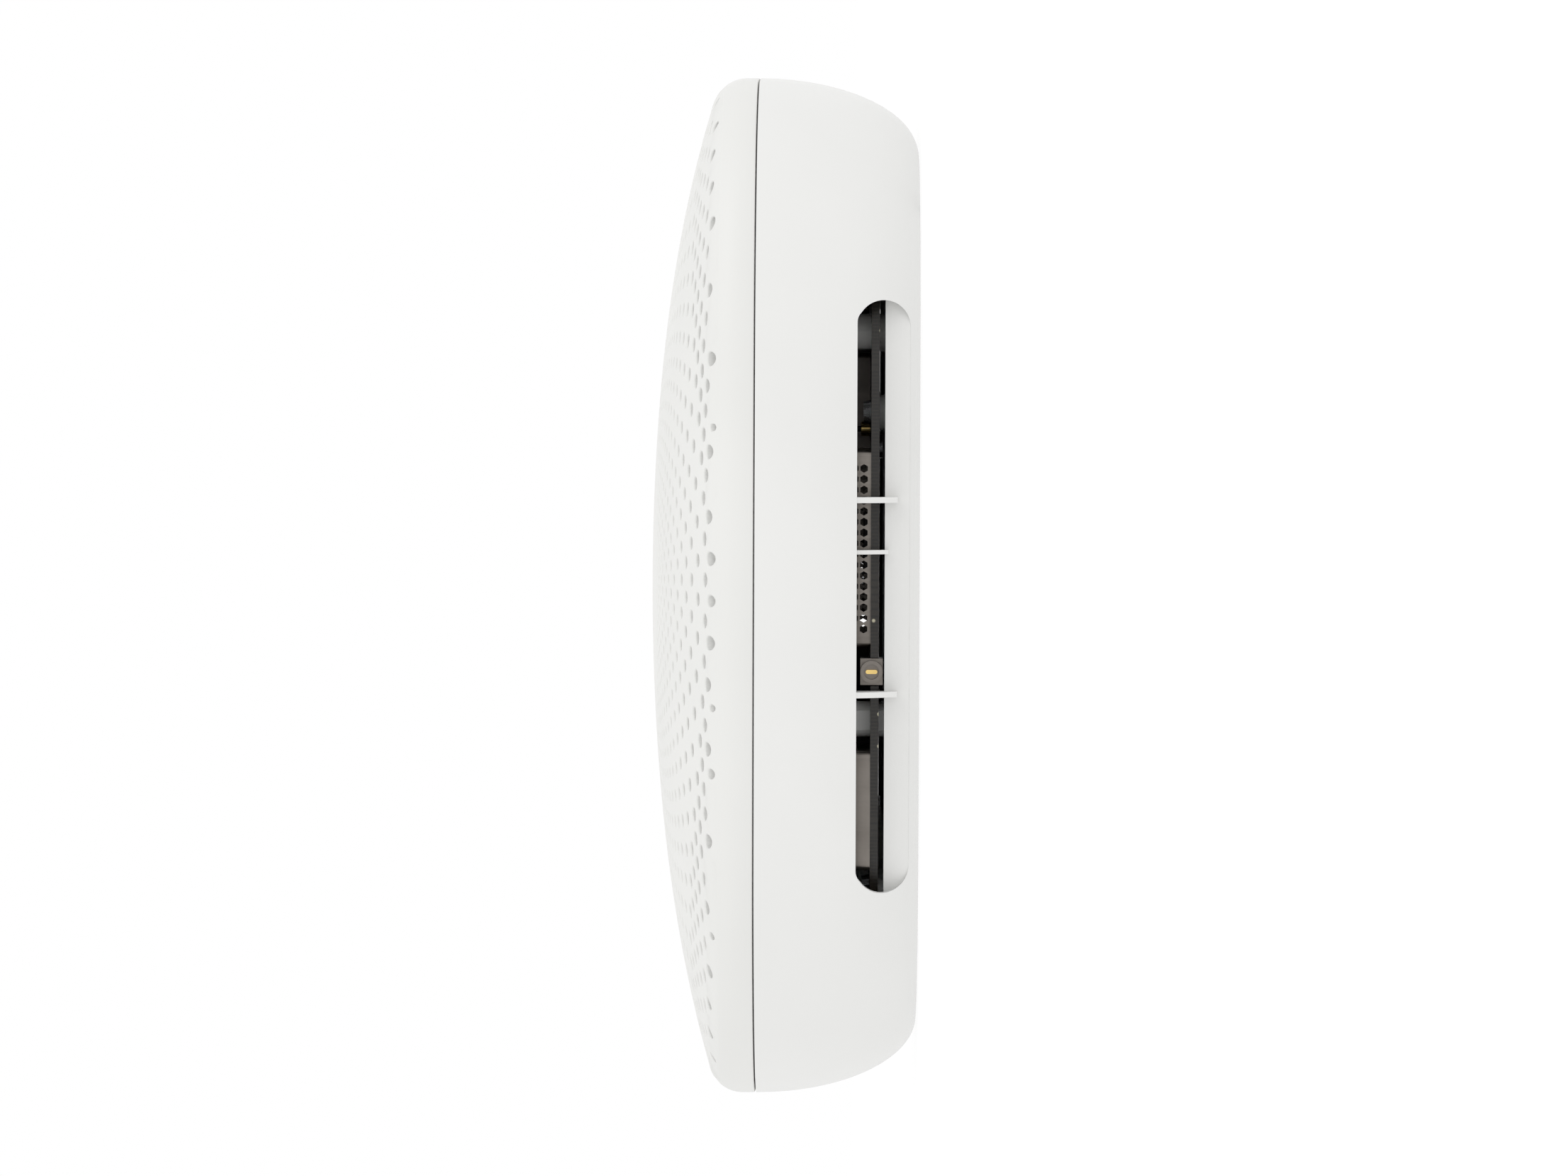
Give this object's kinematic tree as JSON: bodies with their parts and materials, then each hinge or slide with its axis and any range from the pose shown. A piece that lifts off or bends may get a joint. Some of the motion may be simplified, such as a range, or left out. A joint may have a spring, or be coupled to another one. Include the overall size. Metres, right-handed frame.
{
  "type": "ceiling access point",
  "caption": "Ceiling wireless access point: pillow-shaped perforated dome cover on a rear housing with long side vents, electronics inside and a twist-lock bracket.",
  "frame": {"origin": "centre of the mounting face, on the ceiling plane", "axes": "+Z away from the ceiling through the top of the dome, -Y towards the cable bay, +X towards a long side vent"},
  "size_m": [0.21, 0.21, 0.055],
  "materials": {
    "aluminium": "satin",
    "black_plastic": "satin",
    "capacitor_sleeve": "satin",
    "chip_epoxy": "satin",
    "circuit_board": "satin",
    "clear_acrylic": "polished",
    "coax_jacket": "satin",
    "cover_plastic": "satin",
    "ferrite": "matte",
    "galvanised_sheet": "satin",
    "gold_plate": "polished",
    "housing_plastic": "satin",
    "label_film": "satin",
    "led_lens": "gloss",
    "natural_nylon": "satin",
    "silicone_pad": "matte",
    "tinned_steel": "satin",
    "zinc_steel": "satin"
  },
  "bodies": {
    "housing": {"front_cover": "cover_plastic", "rear_housing": "housing_plastic", "back_plate": "housing_plastic", "bracket_pocket": "housing_plastic", "cable_bay": "housing_plastic", "cover_screws": "zinc_steel", "main_board": "circuit_board", "board_screws": "zinc_steel", "radio_shield_near": "tinned_steel", "radio_shield_far": "tinned_steel", "processor_shield": "tinned_steel", "power_shield": "tinned_steel", "chip_packages": "chip_epoxy", "thermal_pads": "silicone_pad", "heat_sink": "aluminium", "poe_transformer": "ferrite", "capacitors": "capacitor_sleeve", "chokes": "ferrite", "line_transformers": "chip_epoxy", "ethernet_jack_poe": "tinned_steel", "ethernet_jack_lan": "tinned_steel", "jack_contacts": "gold_plate", "dc_jack": "black_plastic", "dc_jack_contact": "gold_plate", "reset_switch": "black_plastic", "edge_connector": "tinned_steel", "edge_connector_pin": "gold_plate", "status_led": "led_lens", "ground_plate": "aluminium", "plate_screws": "zinc_steel", "light_pipe": "clear_acrylic", "antenna_supports": "natural_nylon", "antennas": "tinned_steel", "scan_antenna": "circuit_board", "coax_plugs": "gold_plate", "antenna_leads": "coax_jacket", "rating_label": "label_film", "bracket_studs": "zinc_steel"},
    "bracket": {"mounting_bracket": "galvanised_sheet"},
    "button": {"reset_button": "black_plastic"}
  },
  "joints": [
    {"name": "bracket_twist", "type": "hinge", "parent": "housing", "child": "bracket", "pos_m": [0, 0, 0.0038], "axis": [0, 0, 1], "range_deg": [0, 14]},
    {"name": "reset_press", "type": "slide", "parent": "housing", "child": "button", "axis": [0, 1, 0], "range_m": [0, 0.0005], "stiffness_N_per_m": 1200, "springref_m": -0.0004}
  ]
}
